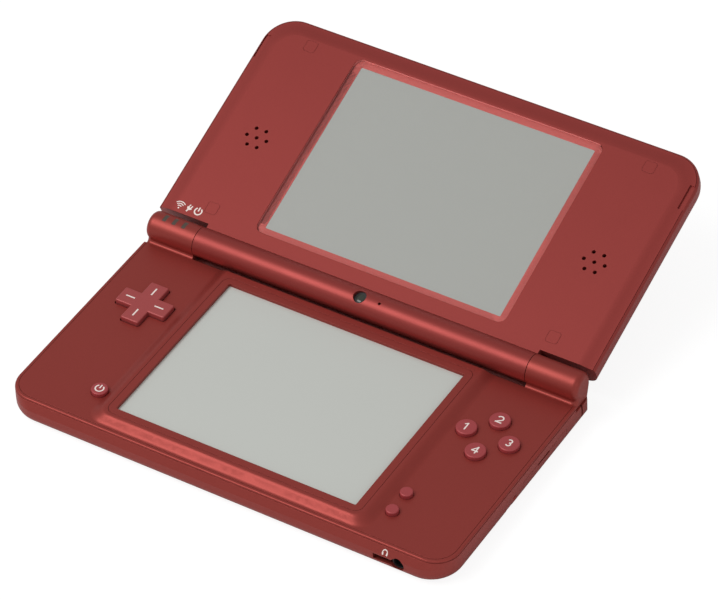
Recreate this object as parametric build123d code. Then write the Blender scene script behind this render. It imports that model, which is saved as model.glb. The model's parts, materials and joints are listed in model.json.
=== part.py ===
from build123d import *
import os
from math import cos, pi, radians, sin, sqrt

# Clamshell handheld game console, in millimetres.
# Frame: the origin is the centre of the base's flat underside, +X is the user's right,
# +Y runs from the user to the hinge, +Z is up. The lid is written open, on its stop.

# ---------------------------------------------------------------- base casing
BASE_WIDTH = 160.5        # across the side walls at their widest
SIDE = BASE_WIDTH / 2
BASE_FRONT = -45.25       # front wall at its widest
BASE_BACK = 45.3          # back wall
BASE_HEIGHT = 11.4        # top of the raised screen surround
CORNER = 8.5              # plan radius of the front corners, at the rim
WALL_CORNER = 11.0        # and where the walls are widest
BACK_CORNER = 5.0         # plan radius of the back corners
UNDER_ROUND = 4.2         # rounding between front and side walls and the underside
BACK_ROUND = 2.5          # rounding between back wall and underside
KNEE_HEIGHT = 6.2         # above it the walls lean in towards the rim
LEAN_SIDE = 0.2           # how far the side walls lean in
LEAN_FRONT = 1.5          # how far the front wall leans in
SPLIT_HEIGHT = 8.7        # top of the lower shell's walls
SHELL_WALL = 1.4
SHELL_FLOOR = 1.3
SEAM = 0.12               # open seam between neighbouring casing pieces
SLIP = 0.2                # gap round a piece that moves

# ---------------------------------------------------------------- deck
DECK_DROP = 2.0           # deck lies this far below the screen surround
DECK_THICK = 1.2
LIP_WIDTH = 1.25          # width of the rim between deck and wall
LIP_ROUND = 0.5
SURROUND_MARGIN = 0.9     # flat strip between bezel seam and the slope
SLOPE_SIDE = 4.4          # slope from surround to deck, at the sides
SLOPE_FRONT = 3.4         # and at the front
SURROUND_CORNER = 3.6
SLOPE_STEPS = 6           # sections the slope is drawn through

# ---------------------------------------------------------------- screens
VIEW_WIDTH = 86.8         # visible width of either screen
VIEW_HEIGHT = 65.1
BORDER_SIDE = 2.6         # bezel and window reach this far past the view, at the sides
BORDER_END = 2.45         # and at front and back
FRAME_WIDTH = VIEW_WIDTH + 2 * BORDER_SIDE
FRAME_HEIGHT = VIEW_HEIGHT + 2 * BORDER_END
FRAME_CORNER = 2.8
SCREEN_Y = -2.8           # centre of the touch screen
TOUCH_DEPTH = 1.17        # touch panel below the bezel's face
TOUCH_THICK = 1.0
DISPLAY_THICK = 1.9

# ---------------------------------------------------------------- hinge
HINGE_Z = 13.2
OPEN_ANGLE = 160.3        # lid's stop, from closed
BARREL_RADIUS = 4.85
BARREL_SHORT = 18.95      # barrel's ends from the base's sides
BARREL_WALL = 1.2
BARREL_SEAM = 0.1         # between barrel and lid pieces
KNUCKLE_GAP = 0.2         # between barrel end and knuckle
KNUCKLE_SET = 0.5         # knuckles' outer ends inside the rim's edge
KNUCKLE_ROUND = 1.9
KNUCKLE_FOOT = 1.0        # fillet between knuckle and deck
LIGHT_OUTER = 6.25        # outermost light window from the base's side
LIGHT_PITCH = 3.65
LIGHT_COUNT = 3
FOOT_HEIGHT = 7.7         # knuckles' feet reach down to here
FOOT_CORNER = 3.4         # plan radius of a foot's outer back corner, at its bottom
TROUGH_CLEAR = 1.35       # space round the barrel in the base's trough
PIVOT_CLEAR = 0.05        # running clearance of the hinge's shafts
SHAFT_RADIUS = 1.8
SLEEVE_RADIUS = 2.6
SLEEVE_BORE = 1.7
SHAFT_LENGTH = 7.0        # reach of the shafts into the knuckles
LID_GAP = 0.3             # between the two faces when closed

# ---------------------------------------------------------------- buttons
BUTTON_RISE = 1.4         # button tops above the deck
BUTTON_TRAVEL = 0.6
BUTTON_GAP = 0.13
BUTTON_EDGE = 0.45
FLANGE_THICK = 0.45
FLANGE_REACH = 0.8
FACE_CENTRE = (SIDE - 17.5, 10.6)
FACE_PITCH = 7.55
FACE_RADIUS = 3.4
SMALL_RADIUS = 2.1
SMALL_SHEET = 4.0         # rubber sheet past the two small keys' centres
SMALL_SHEET_FRONT = 4.05
START_AT = (SIDE - 26.75, -22.4)
SELECT_AT = (SIDE - 26.75, -30.75)
POWER_AT = (26.95 - SIDE, -29.9)
POWER_RADIUS = 2.75
DPAD_CENTRE = (17.65 - SIDE, 9.8)
DPAD_SPAN = 18.4
DPAD_ARM = 6.6
DPAD_RISE = 1.6
DPAD_FLANGE = 6.6
DPAD_SPACE = 0.52         # room over the flange for its tilt
DPAD_BALL = 1.2
DPAD_BALL_Z = 6.9
DPAD_GAP = 0.35
MEMBRANE_SHEET = 0.3
MEMBRANE_DOME = 0.8
MEMBRANE_LOW = 0.45       # domes under the direction cross

# ---------------------------------------------------------------- side and back fittings
SHOULDER_INNER = SIDE - 30.25      # shoulder buttons reach in to this x
SHOULDER_FRONT = BASE_BACK - 7.4   # and forward to this y
FOOT_FRONT = BASE_BACK - 10.4      # knuckles' feet reach forward to this y
SHOULDER_LOW = 2.0
SHOULDER_TOP = FOOT_HEIGHT
SHOULDER_WALL = 1.6
SHOULDER_PIVOT = (SIDE - 28.35, BASE_BACK - 3.0)
SHOULDER_FRONT_GAP = 0.8
PIVOT_POST = 0.8
DOOR_Y = (1.7, 28.4)      # memory-card door on the right side
DOOR_Z = (2.35, 6.1)
DOOR_THICK = 1.2
DOOR_NOTCH = (10.8, 17.9)
CARD_WIDTH = 24.2
CARD_HEIGHT = 2.3
CARD_Z = 4.1
STYLUS_Y = -6.1
STYLUS_Z = 3.2
STYLUS_RADIUS = 2.2
STYLUS_LENGTH = 92.0
STYLUS_SLIP = 0.08
VOLUME_Y = (-2.0, 11.0)
VOLUME_Z = (4.0, 6.4)
GAME_X = (10.4, 44.4)
GAME_Z = (1.55, 5.3)
SHEET_METAL = 0.15
CHARGE_X = -22.0
STRAP_X = -43.0
JACK_X = SIDE - 16.65
JACK_Z = 4.4
JACK_BORE = 1.8
JACK_DEPTH = 12.0
HEADSET_X = (SIDE - 25.15, SIDE - 18.35)
HEADSET_Z = (3.3, 5.5)

# ---------------------------------------------------------------- insides
BOARD_Z = (5.5, 6.3)
BATTERY_X = (-50.0, 2.0)
BATTERY_Y = (1.0, 33.0)
BATTERY_Z = (1.4, 5.6)
COVER_MARGIN = (5.6, 2.2)   # battery cover beyond the battery, in x and y
COVER_THICK = 1.2
BOSS_RADIUS = 2.1
SCREW_SHANK = 0.8
SCREW_HEAD = 1.6
SCREW_CLEAR = 0.05

# ---------------------------------------------------------------- lid
LID_OVER = 0.25           # lid beyond the base at each side
LID_FRONT = 0.6           # and at the front
LID_THICK = 9.5
LID_ROUND = 5.4           # rounding of the outer edges
HEEL_ROUND = 7.5          # and of the heel, which turns past the base's back edge
LID_WALL = 1.4
LID_LIP = 0.7             # shell's edge that shows round the panel
LID_LIP_DROP = 0.6
LID_EDGE = 1.2            # rounding of the shell's inner edge
PANEL_THICK = 1.6
PANEL_MARGIN = 5.0        # panel falls away over this strip at its edges
PANEL_FALL = 0.65
LID_HEEL = 6.25           # lid's edge from the hinge axis, beside the barrel
UPPER_CENTRE = 44.85      # upper screen's centre from the hinge axis
WINDOW_THICK = 1.0
BORDER_THICK = 0.08
SPEAKER_X = SIDE - 17.7
SPEAKER_U = 40.5
SPEAKER_RING = 3.73
SPEAKER_HOLE = 0.65
SPEAKER_RADIUS = 7.5
COVER_X = SIDE - 17.25
COVER_U = (11.75, 77.95)
COVER_SIZE = 4.1
NOTCH_U = (67.9, 77.1)
NOTCH_WIDTH = 1.9
NOTCH_SINK = 1.15
CAMERA_RECESS = 2.2
CAMERA_DEPTH = 1.3
MICROPHONE_X = 7.2
MICROPHONE_HOLE = 0.5
OUTER_CAMERA = (SIDE - 22.25, 68.0)
OUTER_CAMERA_RADIUS = 3.6

# ---------------------------------------------------------------- worked out
HINGE_Y = BASE_BACK - BARREL_RADIUS
BARREL_HALF = SIDE - BARREL_SHORT
LID_WIDTH = BASE_WIDTH + 2 * LID_OVER
LID_LENGTH = HINGE_Y - BASE_FRONT + LID_FRONT   # free edge from the hinge axis
DECK_Z = BASE_HEIGHT - DECK_DROP
DECK_UNDER = DECK_Z - DECK_THICK
LID_FACE = HINGE_Z - BASE_HEIGHT - LID_GAP      # lid's inner face above the hinge axis
LID_BACK = LID_FACE - LID_THICK                 # lid's outer face, same sense
TROUGH_RADIUS = BARREL_RADIUS + TROUGH_CLEAR
TROUGH_FLOOR = HINGE_Z - TROUGH_RADIUS
TROUGH_PLATE = 0.6
TROUGH_FRONT = BASE_BACK - 12.7                 # trough plate starts at this y
# the rim ends where the knuckles' fillets run out on the deck
FOOT_AXIS_Z = DECK_Z + KNUCKLE_FOOT
RIM_END = HINGE_Y - sqrt((BARREL_RADIUS + KNUCKLE_FOOT) ** 2 - (HINGE_Z - FOOT_AXIS_Z) ** 2)
KNUCKLE_START = BARREL_HALF + KNUCKLE_GAP
RIM_HALF = SIDE - LEAN_SIDE
KNUCKLE_END = RIM_HALF - KNUCKLE_SET
RIM_FRONT = BASE_FRONT + LEAN_FRONT
TOUCH_TOP = BASE_HEIGHT - TOUCH_DEPTH
FLANGE_TOP = DECK_UNDER
MEMBRANE_BASE = BOARD_Z[1]
STYLUS_X = (SIDE - STYLUS_LENGTH, SIDE)


def slab(x, y, z, radius=0.0):
    """Plate between the pairs x, y and z, its upright corners rounded."""
    width, depth = x[1] - x[0], y[1] - y[0]
    outline = RectangleRounded(width, depth, radius) if radius else Rectangle(width, depth)
    return Pos((x[0] + x[1]) / 2, (y[0] + y[1]) / 2, z[0]) * extrude(outline, z[1] - z[0])


def rod_x(radius, x, y, z):
    """Round bar along X between the pair x."""
    return Pos((x[0] + x[1]) / 2, y, z) * Rot(0, 90, 0) * Cylinder(radius, x[1] - x[0])


def rod_y(radius, x, y, z):
    """Round bar along Y between the pair y."""
    return Pos(x, (y[0] + y[1]) / 2, z) * Rot(90, 0, 0) * Cylinder(radius, y[1] - y[0])


def rod_z(radius, x, y, z):
    """Round bar along Z between the pair z."""
    return Pos(x, y, (z[0] + z[1]) / 2) * Cylinder(radius, z[1] - z[0])


def mirrored(shape):
    """The same shape on the other side of the middle plane."""
    return mirror(shape, about=Plane.YZ)


def both_sides(shape):
    """The shape and its mirror image."""
    return shape + mirrored(shape)


def grown(pair, by):
    """The pair widened by the same amount at each end."""
    return (pair[0] - by, pair[1] + by)


def outline(x, y, z, front_corner, back_corner):
    """Rounded outline with its own radius at the front and at the back corners."""
    shape = Rectangle(x[1] - x[0], y[1] - y[0])
    shape = fillet(shape.vertices().group_by(Axis.Y)[0], front_corner)
    if back_corner:
        shape = fillet(shape.vertices().group_by(Axis.Y)[-1], back_corner)
    return Pos((x[0] + x[1]) / 2, (y[0] + y[1]) / 2, z) * shape


def casing(inset, floor, top):
    """Base casing's form drawn in by an inset: rounded underside, walls that lean in near the top."""
    half = SIDE - inset
    front, back = BASE_FRONT + inset, BASE_BACK - inset
    back_corner = BACK_CORNER - inset
    knee = outline((-half, half), (front, back), KNEE_HEIGHT, WALL_CORNER - inset, back_corner)
    lower = extrude(knee, -(KNEE_HEIGHT - floor))
    lower = fillet(lower.edges().group_by(Axis.Z)[0], BACK_ROUND - inset)
    # the deeper rounding of front and sides runs out past the back wall
    deep = outline((-half, half), (front, back + 9), KNEE_HEIGHT, WALL_CORNER - inset, 0)
    deep = extrude(deep, -(KNEE_HEIGHT - floor))
    edges = deep.edges().group_by(Axis.Z)[0].sort_by(Axis.Y)[:-1]
    lower &= fillet(edges, UNDER_ROUND - inset)
    rise = (top - KNEE_HEIGHT) / (SPLIT_HEIGHT - KNEE_HEIGHT)
    brow_half = half - LEAN_SIDE * rise
    brow = outline((-brow_half, brow_half), (front + LEAN_FRONT * rise, back), top, CORNER - inset, back_corner)
    return lower + loft([knee, brow], ruled=True)


def screw_places():
    """Where the screws through the underside stand."""
    x, front, back = SIDE - 9.25, BASE_FRONT + 9.25, BASE_BACK - 14.8
    middle = BASE_FRONT + 4.95
    return [(x, front), (-x, front), (x, back), (-x, back), (20.0, middle), (-20.0, middle)]


def stylus_bore(clearance, x):
    return rod_x(STYLUS_RADIUS + clearance, x, STYLUS_Y, STYLUS_Z)


def front_socket(y):
    """Opening in the front wall: a flat slot that runs into a round hole."""
    slot = slab((HEADSET_X[0], JACK_X), y, HEADSET_Z)
    return slot + rod_y(JACK_BORE + 0.55, JACK_X, y, JACK_Z)


def cover_bay(by, z, radius):
    """Room of the battery cover, widened by a margin."""
    x, y = grown(BATTERY_X, COVER_MARGIN[0] + by), grown(BATTERY_Y, COVER_MARGIN[1] + by)
    return slab(x, y, z, radius)


def lower_shell():
    shell = casing(0, 0, SPLIT_HEIGHT) - casing(SHELL_WALL, SHELL_FLOOR, SPLIT_HEIGHT)
    inside = casing(SHELL_WALL - 0.3, 0.5, SPLIT_HEIGHT)
    shell -= extrude(deck_outline(0, DECK_UNDER - SEAM), 2)
    # the back wall is low under the barrel and beside it ends under the knuckles' feet
    reach = KNUCKLE_START
    shell -= slab((-reach, reach), (TROUGH_FRONT, BASE_BACK + 1), (TROUGH_FLOOR - TROUGH_PLATE, SPLIT_HEIGHT + 1))
    shell -= both_sides(slab((reach - 1, BASE_WIDTH), (FOOT_FRONT - SEAM, BASE_BACK + 1),
                             (FOOT_HEIGHT - SEAM, SPLIT_HEIGHT + 1)))
    # pockets of the shoulder buttons, round the back corners, with an upright post each
    shell -= both_sides(slab((SHOULDER_INNER, BASE_WIDTH), (SHOULDER_FRONT, BASE_BACK + 5),
                             (SHOULDER_LOW, SPLIT_HEIGHT + 1)))
    shell += both_sides(rod_z(PIVOT_POST, *SHOULDER_PIVOT, (SHELL_FLOOR - 0.1, TROUGH_FLOOR - TROUGH_PLATE)))
    # right side: stylus channel with a scoop at its mouth, and the memory-card opening
    shell += slab((STYLUS_X[0] - 1.5, SIDE - 1), grown((STYLUS_Y, STYLUS_Y), STYLUS_RADIUS + 0.8),
                  (0.8, STYLUS_Z + 0.8)) & inside
    shell -= stylus_bore(STYLUS_SLIP, (STYLUS_X[0] - 0.3, BASE_WIDTH))
    shell -= slab((STYLUS_X[0] - 0.3, SIDE - SHELL_WALL), grown((STYLUS_Y, STYLUS_Y), STYLUS_RADIUS - 0.4),
                  (STYLUS_Z, BOARD_Z[0]))
    shell -= Pos(SIDE + 1.1, STYLUS_Y + STYLUS_RADIUS, STYLUS_Z + 0.4) * Sphere(2.0)
    shell -= slab((SIDE - 4, BASE_WIDTH), grown(DOOR_Y, SEAM), grown(DOOR_Z, SEAM))
    # left side: volume rocker
    shell -= slab((-BASE_WIDTH, -SIDE + 4), grown(VOLUME_Y, SLIP), grown(VOLUME_Z, SLIP))
    # front wall: headset slot and headphone hole
    shell -= front_socket((BASE_FRONT - 1, BASE_FRONT + 3.2))
    # back wall: game-card slot, charging port and the two holes of the strap eye
    behind = (BASE_BACK - 3, BASE_BACK + 1)
    shell -= slab(GAME_X, behind, GAME_Z)
    shell -= slab((CHARGE_X - 4.4, CHARGE_X + 4.4), behind, (1.9, 5.3))
    for x in (STRAP_X - 1.3, STRAP_X + 1.3):
        shell -= slab((x - 0.7, x + 0.7), behind, (2.4, 5.2))
    # underside: battery bay and screw holes
    shell += cover_bay(1.6, (0.4, COVER_THICK + 1.3), 1.0) & inside
    shell -= cover_bay(SEAM, (-1, COVER_THICK + 0.05), 2.0)
    shell -= slab(grown(BATTERY_X, 0.3), grown(BATTERY_Y, 0.3), (-1, 4), 1.0)
    for x, y in screw_places():
        shell += rod_z(BOSS_RADIUS + 0.4, x, y, (0.8, SHELL_FLOOR + 1.2))
        shell -= rod_z(SCREW_HEAD + 0.2, x, y, (-1, SHELL_FLOOR))
        shell -= rod_z(SCREW_SHANK + 0.2, x, y, (-1, SHELL_FLOOR + 2))
    for x, y in cover_screw_places():
        shell += rod_z(BOSS_RADIUS, x, y, (COVER_THICK + 0.05, COVER_THICK + 3.2))
        shell -= rod_z(SCREW_SHANK, x, y, (0, COVER_THICK + 2.8))
    return shell


def cover_screw_places():
    """The battery cover's two screws, at the middle of its short ends."""
    middle = (BATTERY_Y[0] + BATTERY_Y[1]) / 2
    return [(BATTERY_X[0] - 3.0, middle), (BATTERY_X[1] + 3.0, middle)]


def surround():
    """Raised field round the touch screen; its sides run down to the deck in a soft S."""
    half = FRAME_WIDTH / 2 + SURROUND_MARGIN
    front = SCREEN_Y - FRAME_HEIGHT / 2 - SURROUND_MARGIN
    back = HINGE_Y + 4
    sections = []
    for step in range(SLOPE_STEPS, -1, -1):
        out = step / SLOPE_STEPS
        z = DECK_Z + DECK_DROP * (1 + cos(pi * out)) / 2
        low = front - SLOPE_FRONT * out
        plan = RectangleRounded(2 * (half + SLOPE_SIDE * out), back - low, SURROUND_CORNER + 2 * out)
        sections.append(Pos(0, (low + back) / 2, z) * plan)
    return loft(sections)


def area(y, z):
    """Rectangle between the pairs y and z, for a side profile."""
    return Pos((y[0] + y[1]) / 2, (z[0] + z[1]) / 2) * Rectangle(y[1] - y[0], z[1] - z[0])


def knuckle(start, end):
    """Right-hand hinge knuckle: a round end on a foot, drawn from its side profile."""
    toe = RIM_END + SEAM
    touch_z = HINGE_Z + (FOOT_AXIS_Z - HINGE_Z) * BARREL_RADIUS / (BARREL_RADIUS + KNUCKLE_FOOT)
    profile = area((toe, HINGE_Y), (DECK_Z - 1, touch_z)) - Pos(RIM_END, FOOT_AXIS_Z) * Circle(KNUCKLE_FOOT)
    profile += Pos(HINGE_Y, HINGE_Z) * Circle(BARREL_RADIUS)
    profile += area((HINGE_Y - 1, BASE_BACK), (DECK_Z - 1, HINGE_Z))
    profile += area((toe, BASE_BACK), (FOOT_HEIGHT - 3, DECK_Z))
    body = Pos(start, 0, 0) * extrude(Plane.YZ * profile, end - start)
    outer = [edge for edge in body.edges().group_by(Axis.X)[-1]
             if edge.center().Z > DECK_Z or edge.center().Y > BASE_BACK - 0.01]
    body = fillet(outer, KNUCKLE_ROUND)
    # the outer back corner grows rounder towards the shoulder button
    sections = []
    for z, corner in ((FOOT_HEIGHT, FOOT_CORNER), (HINGE_Z, KNUCKLE_ROUND - 0.3)):
        plan = Rectangle(10, 10)
        plan = fillet(plan.vertices().group_by(Axis.X)[-1].sort_by(Axis.Y)[-1], corner)
        sections.append(Pos(end - 4.98, BASE_BACK - 4.98, z) * plan)
    block = slab((end - 4.9, end + 1), (BASE_BACK - 4.9, BASE_BACK + 1), (FOOT_HEIGHT, HINGE_Z))
    body -= block - loft(sections, ruled=True)
    # strip under the rim's end, forward to the foot's front
    strip = slab((RIM_HALF - LIP_WIDTH - 1, end), (FOOT_FRONT, toe + 1), (FOOT_HEIGHT, SPLIT_HEIGHT))
    strip = fillet(strip.edges().group_by(Axis.X)[-1].sort_by(Axis.Z)[-1], 0.4)
    return body + strip - slab((start - 1, end + 1), (0, BASE_BACK + 1), (0, FOOT_HEIGHT))


def dpad_outline(span, arm, corner):
    """Plan of the direction cross."""
    cross = RectangleRounded(span, arm, corner) + RectangleRounded(arm, span, corner)
    return Pos(*DPAD_CENTRE) * cross


def button_places():
    """Name, centre and radius of every round button on the deck."""
    x, y = FACE_CENTRE
    return [("face_button_top", (x, y + FACE_PITCH), FACE_RADIUS),
            ("face_button_right", (x + FACE_PITCH, y), FACE_RADIUS),
            ("face_button_bottom", (x, y - FACE_PITCH), FACE_RADIUS),
            ("face_button_left", (x - FACE_PITCH, y), FACE_RADIUS),
            ("start_button", START_AT, SMALL_RADIUS),
            ("select_button", SELECT_AT, SMALL_RADIUS),
            ("power_button", POWER_AT, POWER_RADIUS)]


def deck_outline(inset, z):
    """Plan of the deck inside its rim."""
    half = RIM_HALF - LIP_WIDTH - inset
    front = RIM_FRONT + LIP_WIDTH + inset
    back = BASE_BACK
    return Pos(0, (front + back) / 2, z) * RectangleRounded(2 * half, back - front, CORNER - LIP_WIDTH - inset)


def control_deck():
    deck = extrude(deck_outline(SEAM, DECK_UNDER), DECK_THICK) + surround()
    # trough of the barrel, open to the back, and the knuckles at its ends
    reach = KNUCKLE_START
    deck += slab((-reach, reach), (TROUGH_FRONT, HINGE_Y), (TROUGH_FLOOR - TROUGH_PLATE, DECK_Z))
    deck -= slab((-BASE_WIDTH, BASE_WIDTH), (HINGE_Y, BASE_BACK + 9), (0, 20))
    deck -= rod_x(TROUGH_RADIUS, (-reach, reach), HINGE_Y, HINGE_Z)
    deck += slab((-reach, reach), (HINGE_Y - 1, BASE_BACK), (TROUGH_FLOOR - TROUGH_PLATE, TROUGH_FLOOR))
    deck += both_sides(knuckle(reach, KNUCKLE_END))
    # screen and button openings
    deck -= screen_plate(-SEAM / 2, (0, 20))
    for _, (x, y), radius in button_places():
        deck -= rod_z(radius + BUTTON_GAP, x, y, (DECK_UNDER - 1, 20))
    cross = dpad_outline(DPAD_SPAN + 2 * DPAD_GAP, DPAD_ARM + 2 * DPAD_GAP, 0.8)
    deck -= Pos(0, 0, DECK_UNDER - 1) * extrude(cross, 9)
    # hinge bores and light windows
    depth = reach + SHAFT_LENGTH + 0.5
    deck -= rod_x(SHAFT_RADIUS + PIVOT_CLEAR, (BARREL_HALF, depth), HINGE_Y, HINGE_Z)
    deck -= rod_x(SLEEVE_RADIUS + PIVOT_CLEAR, (-depth, -BARREL_HALF), HINGE_Y, HINGE_Z)
    for x in light_places():
        deck -= light_box(x, 0.02)
    # screw posts
    for x, y in screw_places():
        deck += rod_z(BOSS_RADIUS, x, y, (SHELL_FLOOR + 1.2, DECK_UNDER + 0.2))
        deck -= rod_z(SCREW_SHANK + 0.02, x, y, (SHELL_FLOOR, DECK_UNDER - 0.6))
    return deck


def light_places():
    """Centres of the light windows on the left knuckle."""
    return [LIGHT_OUTER - SIDE + i * LIGHT_PITCH for i in range(LIGHT_COUNT)]


def light_box(x, clearance):
    return slab((x - 0.65 - clearance, x + 0.65 + clearance),
                (HINGE_Y - 1.5 - clearance, HINGE_Y + 1.5 + clearance),
                (HINGE_Z + BARREL_RADIUS - 1.3 - clearance, HINGE_Z + BARREL_RADIUS + 1))


def status_lights():
    skin = rod_x(BARREL_RADIUS - 0.02, (-KNUCKLE_END, -KNUCKLE_START), HINGE_Y, HINGE_Z)
    return Compound(children=[light_box(x, 0) & skin for x in light_places()])


def deck_rim():
    """U-shaped lip round the deck, from knuckle to knuckle, with a groove along its lower edge."""
    half, front, back = RIM_HALF - SEAM, RIM_FRONT + SEAM, BASE_BACK + CORNER
    ring = slab((-half, half), (front, back), (SPLIT_HEIGHT + SEAM, DECK_Z), CORNER - SEAM)
    ring = fillet(ring.edges().group_by(Axis.Z)[-1], LIP_ROUND)
    ring += slab((-half + 0.4, half - 0.4), (front + 0.4, back), (SPLIT_HEIGHT, DECK_Z - 0.2), CORNER - SEAM - 0.4)
    ring -= extrude(deck_outline(0, SPLIT_HEIGHT - 1), 4)
    return ring & slab((-BASE_WIDTH, BASE_WIDTH), (-BASE_WIDTH, RIM_END), (0, 20))


def touch_bezel():
    """Frame that presses on the edge of the touch panel, flush with the surround."""
    outer = slab((-FRAME_WIDTH / 2 + SEAM / 2, FRAME_WIDTH / 2 - SEAM / 2),
                 (SCREEN_Y - FRAME_HEIGHT / 2 + SEAM / 2, SCREEN_Y + FRAME_HEIGHT / 2 - SEAM / 2),
                 (TOUCH_TOP, BASE_HEIGHT), FRAME_CORNER - SEAM / 2)
    view = slab((-VIEW_WIDTH / 2, VIEW_WIDTH / 2),
                (SCREEN_Y - VIEW_HEIGHT / 2, SCREEN_Y + VIEW_HEIGHT / 2), (TOUCH_TOP - 1, BASE_HEIGHT + 1), 0.4)
    return outer - view


def screen_plate(margin, z):
    """Plate behind the touch-screen opening, inset from the opening by a margin."""
    half_x, half_y = FRAME_WIDTH / 2 - margin, FRAME_HEIGHT / 2 - margin
    return slab((-half_x, half_x), (SCREEN_Y - half_y, SCREEN_Y + half_y), z, FRAME_CORNER - margin)


def touch_panel():
    return screen_plate(0.3, (TOUCH_TOP - TOUCH_THICK, TOUCH_TOP))


def lower_display():
    z = TOUCH_TOP - TOUCH_THICK
    body = screen_plate(0.5, (z - DISPLAY_THICK, z))
    tray = screen_plate(1.6, (z - DISPLAY_THICK - 1, z - DISPLAY_THICK + 0.4))
    return body - tray


def round_button(centre, radius):
    """Button cap with a softened rim, on a wider flange that stops it under the deck."""
    x, y = centre
    top = DECK_Z + BUTTON_RISE
    cap = rod_z(radius, x, y, (FLANGE_TOP - FLANGE_THICK, top))
    cap = fillet(cap.edges().group_by(Axis.Z)[-1], BUTTON_EDGE)
    return cap + rod_z(radius + FLANGE_REACH, x, y, (FLANGE_TOP - FLANGE_THICK, FLANGE_TOP - 0.02))


def d_pad():
    """Direction cross on a round flange that seats on the rocking pivot."""
    x, y = DPAD_CENTRE
    top, seat = DECK_Z + DPAD_RISE, DECK_UNDER - DPAD_SPACE
    cap = Pos(0, 0, seat) * extrude(dpad_outline(DPAD_SPAN, DPAD_ARM, 0.6), top - seat)
    cap = fillet(cap.edges().group_by(Axis.Z)[-1], 0.45)
    cap += rod_z(DPAD_FLANGE, x, y, (seat - 0.35, seat))
    return cap - Pos(x, y, DPAD_BALL_Z) * Sphere(DPAD_BALL + PIVOT_CLEAR)


def dpad_pivot():
    """Round-headed seat over the membrane, on which the cross rocks."""
    x, y = DPAD_CENTRE
    low = MEMBRANE_BASE + MEMBRANE_SHEET + 0.1
    return (Pos(x, y, DPAD_BALL_Z) * Sphere(DPAD_BALL)) & slab((x - 3, x + 3), (y - 3, y + 3), (low, low + 5))


def membrane(pads, x, y, dome):
    """Rubber contact sheet on the board with a low dome under each key."""
    sheet = slab(x, y, (MEMBRANE_BASE, MEMBRANE_BASE + MEMBRANE_SHEET), 1.5)
    for (px, py), radius in pads:
        sheet += rod_z(radius, px, py, (MEMBRANE_BASE, MEMBRANE_BASE + dome))
    return sheet


def shoulder_button():
    """Right-hand shoulder button: a curved wall round the back corner, on an upright pivot."""
    low, top = SHOULDER_LOW + SLIP, SHOULDER_TOP - SLIP
    inner_top = TROUGH_FLOOR - TROUGH_PLATE - SLIP
    button = casing(0, 0, SPLIT_HEIGHT) - casing(SHOULDER_WALL, 1.0, SPLIT_HEIGHT)
    button &= slab((SHOULDER_INNER + SLIP, BASE_WIDTH), (SHOULDER_FRONT + SHOULDER_FRONT_GAP, BASE_BACK + 5),
                   (low, top))
    button -= slab((0, KNUCKLE_START + SLIP), (0, BASE_BACK + 5), (inner_top, top + 1))
    px, py = SHOULDER_PIVOT
    button += rod_z(PIVOT_POST + 1.1, px, py, (low, inner_top))
    button += slab((px, px + 6), (py - 0.6, BASE_BACK - 0.8), (low + 1, inner_top))
    x = SIDE - 17.25
    button += slab((x - 1, x + 1), (BASE_BACK - 5.1, BASE_BACK - 1.0), (3.6, 6.0))
    return button - rod_z(PIVOT_POST + PIVOT_CLEAR, px, py, (0, 20))


def shoulder_switches():
    """Push switch behind each shoulder button, with its plunger."""
    x, y = SIDE - 17.25, BASE_BACK - 5.9
    body = slab((x - 2.5, x + 2.5), (y - 2.8, y), (3.3, BOARD_Z[0]))
    body += slab((x - 0.8, x + 0.8), (y - 0.1, y + 0.5), (4.0, 5.2))
    return Compound(children=[body, mirrored(body)])


def volume_rocker():
    """Long key in the left wall that tips about its middle, held by a tab behind the wall."""
    face, back = -SIDE - 0.25, -SIDE + 2.6
    middle = (VOLUME_Y[0] + VOLUME_Y[1]) / 2
    key = slab((face, back), VOLUME_Y, VOLUME_Z)
    key = fillet(key.edges().group_by(Axis.X)[0], 0.4)
    key += slab((back - 0.5, back), (middle - 2.5, middle + 2.5), grown(VOLUME_Z, 0.5))
    return key - slab((face - 1, face + 0.3), (middle - 0.4, middle + 0.4), grown(VOLUME_Z, 1))


def memory_card_door():
    """Cover of the memory-card slot, cut from the side wall's own form, with a nail notch."""
    zone = slab((SIDE - 3, BASE_WIDTH), DOOR_Y, DOOR_Z)
    zone = fillet(zone.edges().filter_by(Axis.Z), 0.45)
    door = (casing(0, 0, SPLIT_HEIGHT) - casing(DOOR_THICK, 1.0, SPLIT_HEIGHT)) & zone
    notch = slab((SIDE - 0.75, BASE_WIDTH), DOOR_NOTCH, (DOOR_Z[1] - 0.55, DOOR_Z[1] + 1))
    return door - notch


def memory_card_socket():
    """Folded metal shell round the memory card's space."""
    middle = (DOOR_Y[0] + DOOR_Y[1]) / 2
    y = (middle - CARD_WIDTH / 2, middle + CARD_WIDTH / 2)
    z = (CARD_Z - CARD_HEIGHT / 2, CARD_Z + CARD_HEIGHT / 2)
    x = (SIDE - 33.75, SIDE - 2.4)
    shell = slab(x, grown(y, SHEET_METAL), grown(z, SHEET_METAL))
    return shell - slab((x[0] + 3, x[1] + 1), y, z)


def game_card_socket():
    """Folded metal shell round the game card's space, with a contact block at its end."""
    y = (BASE_BACK - 36.3, BASE_BACK - SHELL_WALL - 0.9)
    shell = slab(grown(GAME_X, SHEET_METAL), y, grown(GAME_Z, SHEET_METAL))
    shell -= slab(GAME_X, (y[0] + 3.2, y[1] + 1), GAME_Z)
    for i in range(16):
        x = GAME_X[0] + 2.6 + i * 1.9
        shell -= slab((x, x + 0.9), (y[0] + 1.0, y[0] + 4), (GAME_Z[0] + 0.8, GAME_Z[0] + 1.6))
    return shell


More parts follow.
